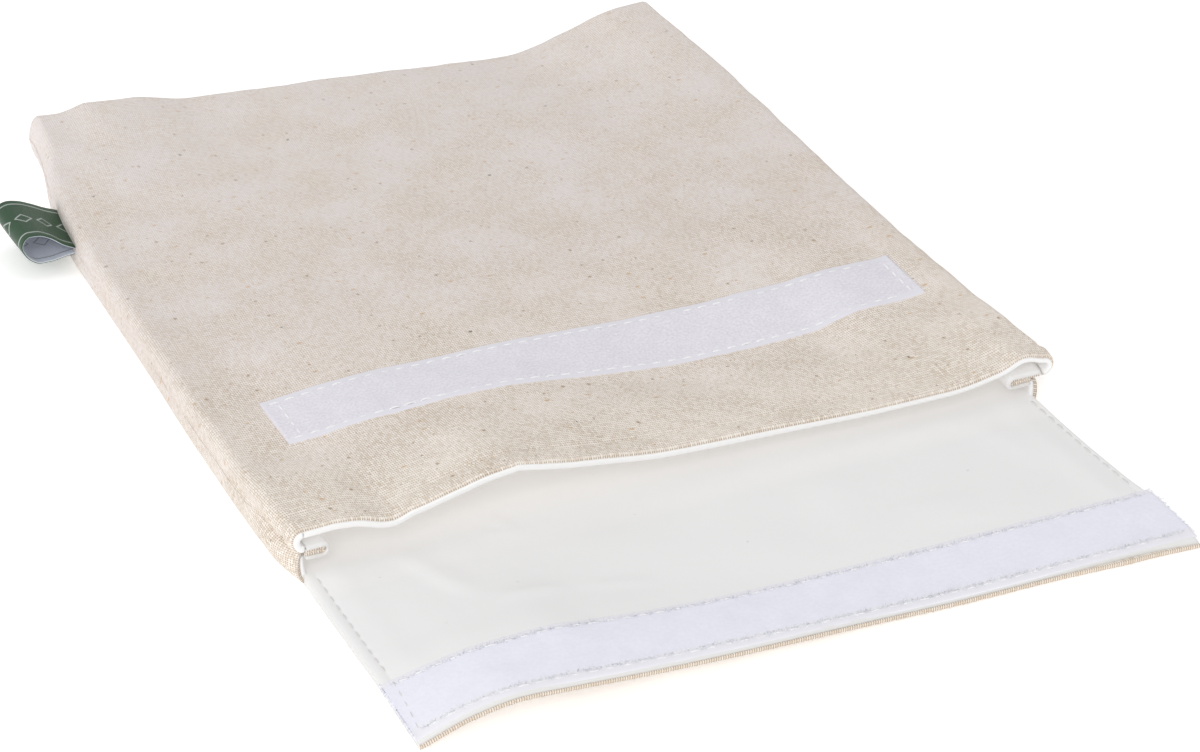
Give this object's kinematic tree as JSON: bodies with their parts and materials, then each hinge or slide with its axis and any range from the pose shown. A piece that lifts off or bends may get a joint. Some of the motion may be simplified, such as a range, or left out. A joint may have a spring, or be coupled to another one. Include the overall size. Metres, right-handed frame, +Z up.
{
  "type": "cooler bag",
  "caption": "Flat canvas cooler bag with a white film lining, folded-in side gussets, a fold-over flap with hook-and-loop tape, and a small side label; shown lying open.",
  "frame": {"origin": "on the surface that the bag lies on, under the middle of its outline from above, flap and side label included", "axes": "+X across the bag, away from the side with the label; +Y from the flap to the bottom seam; +Z up"},
  "size_m": [0.2452, 0.3542, 0.0206],
  "materials": {
    "hemp_canvas": "matte unbleached hemp canvas",
    "white_film": "soft white film with a satin sheen",
    "hook_tape": "pale woven hook tape",
    "loop_tape": "pale brushed loop tape",
    "green_label": "dark green satin ribbon"
  },
  "bodies": {
    "root": {"front_panel": "hemp_canvas", "back_panel_and_flap": "hemp_canvas", "left_gusset": "hemp_canvas", "right_gusset": "hemp_canvas", "front_lining": "white_film", "back_and_flap_lining": "white_film", "left_gusset_lining": "white_film", "right_gusset_lining": "white_film", "hook_tape": "hook_tape", "loop_tape": "loop_tape", "side_label": "green_label"}
  },
  "joints": []
}
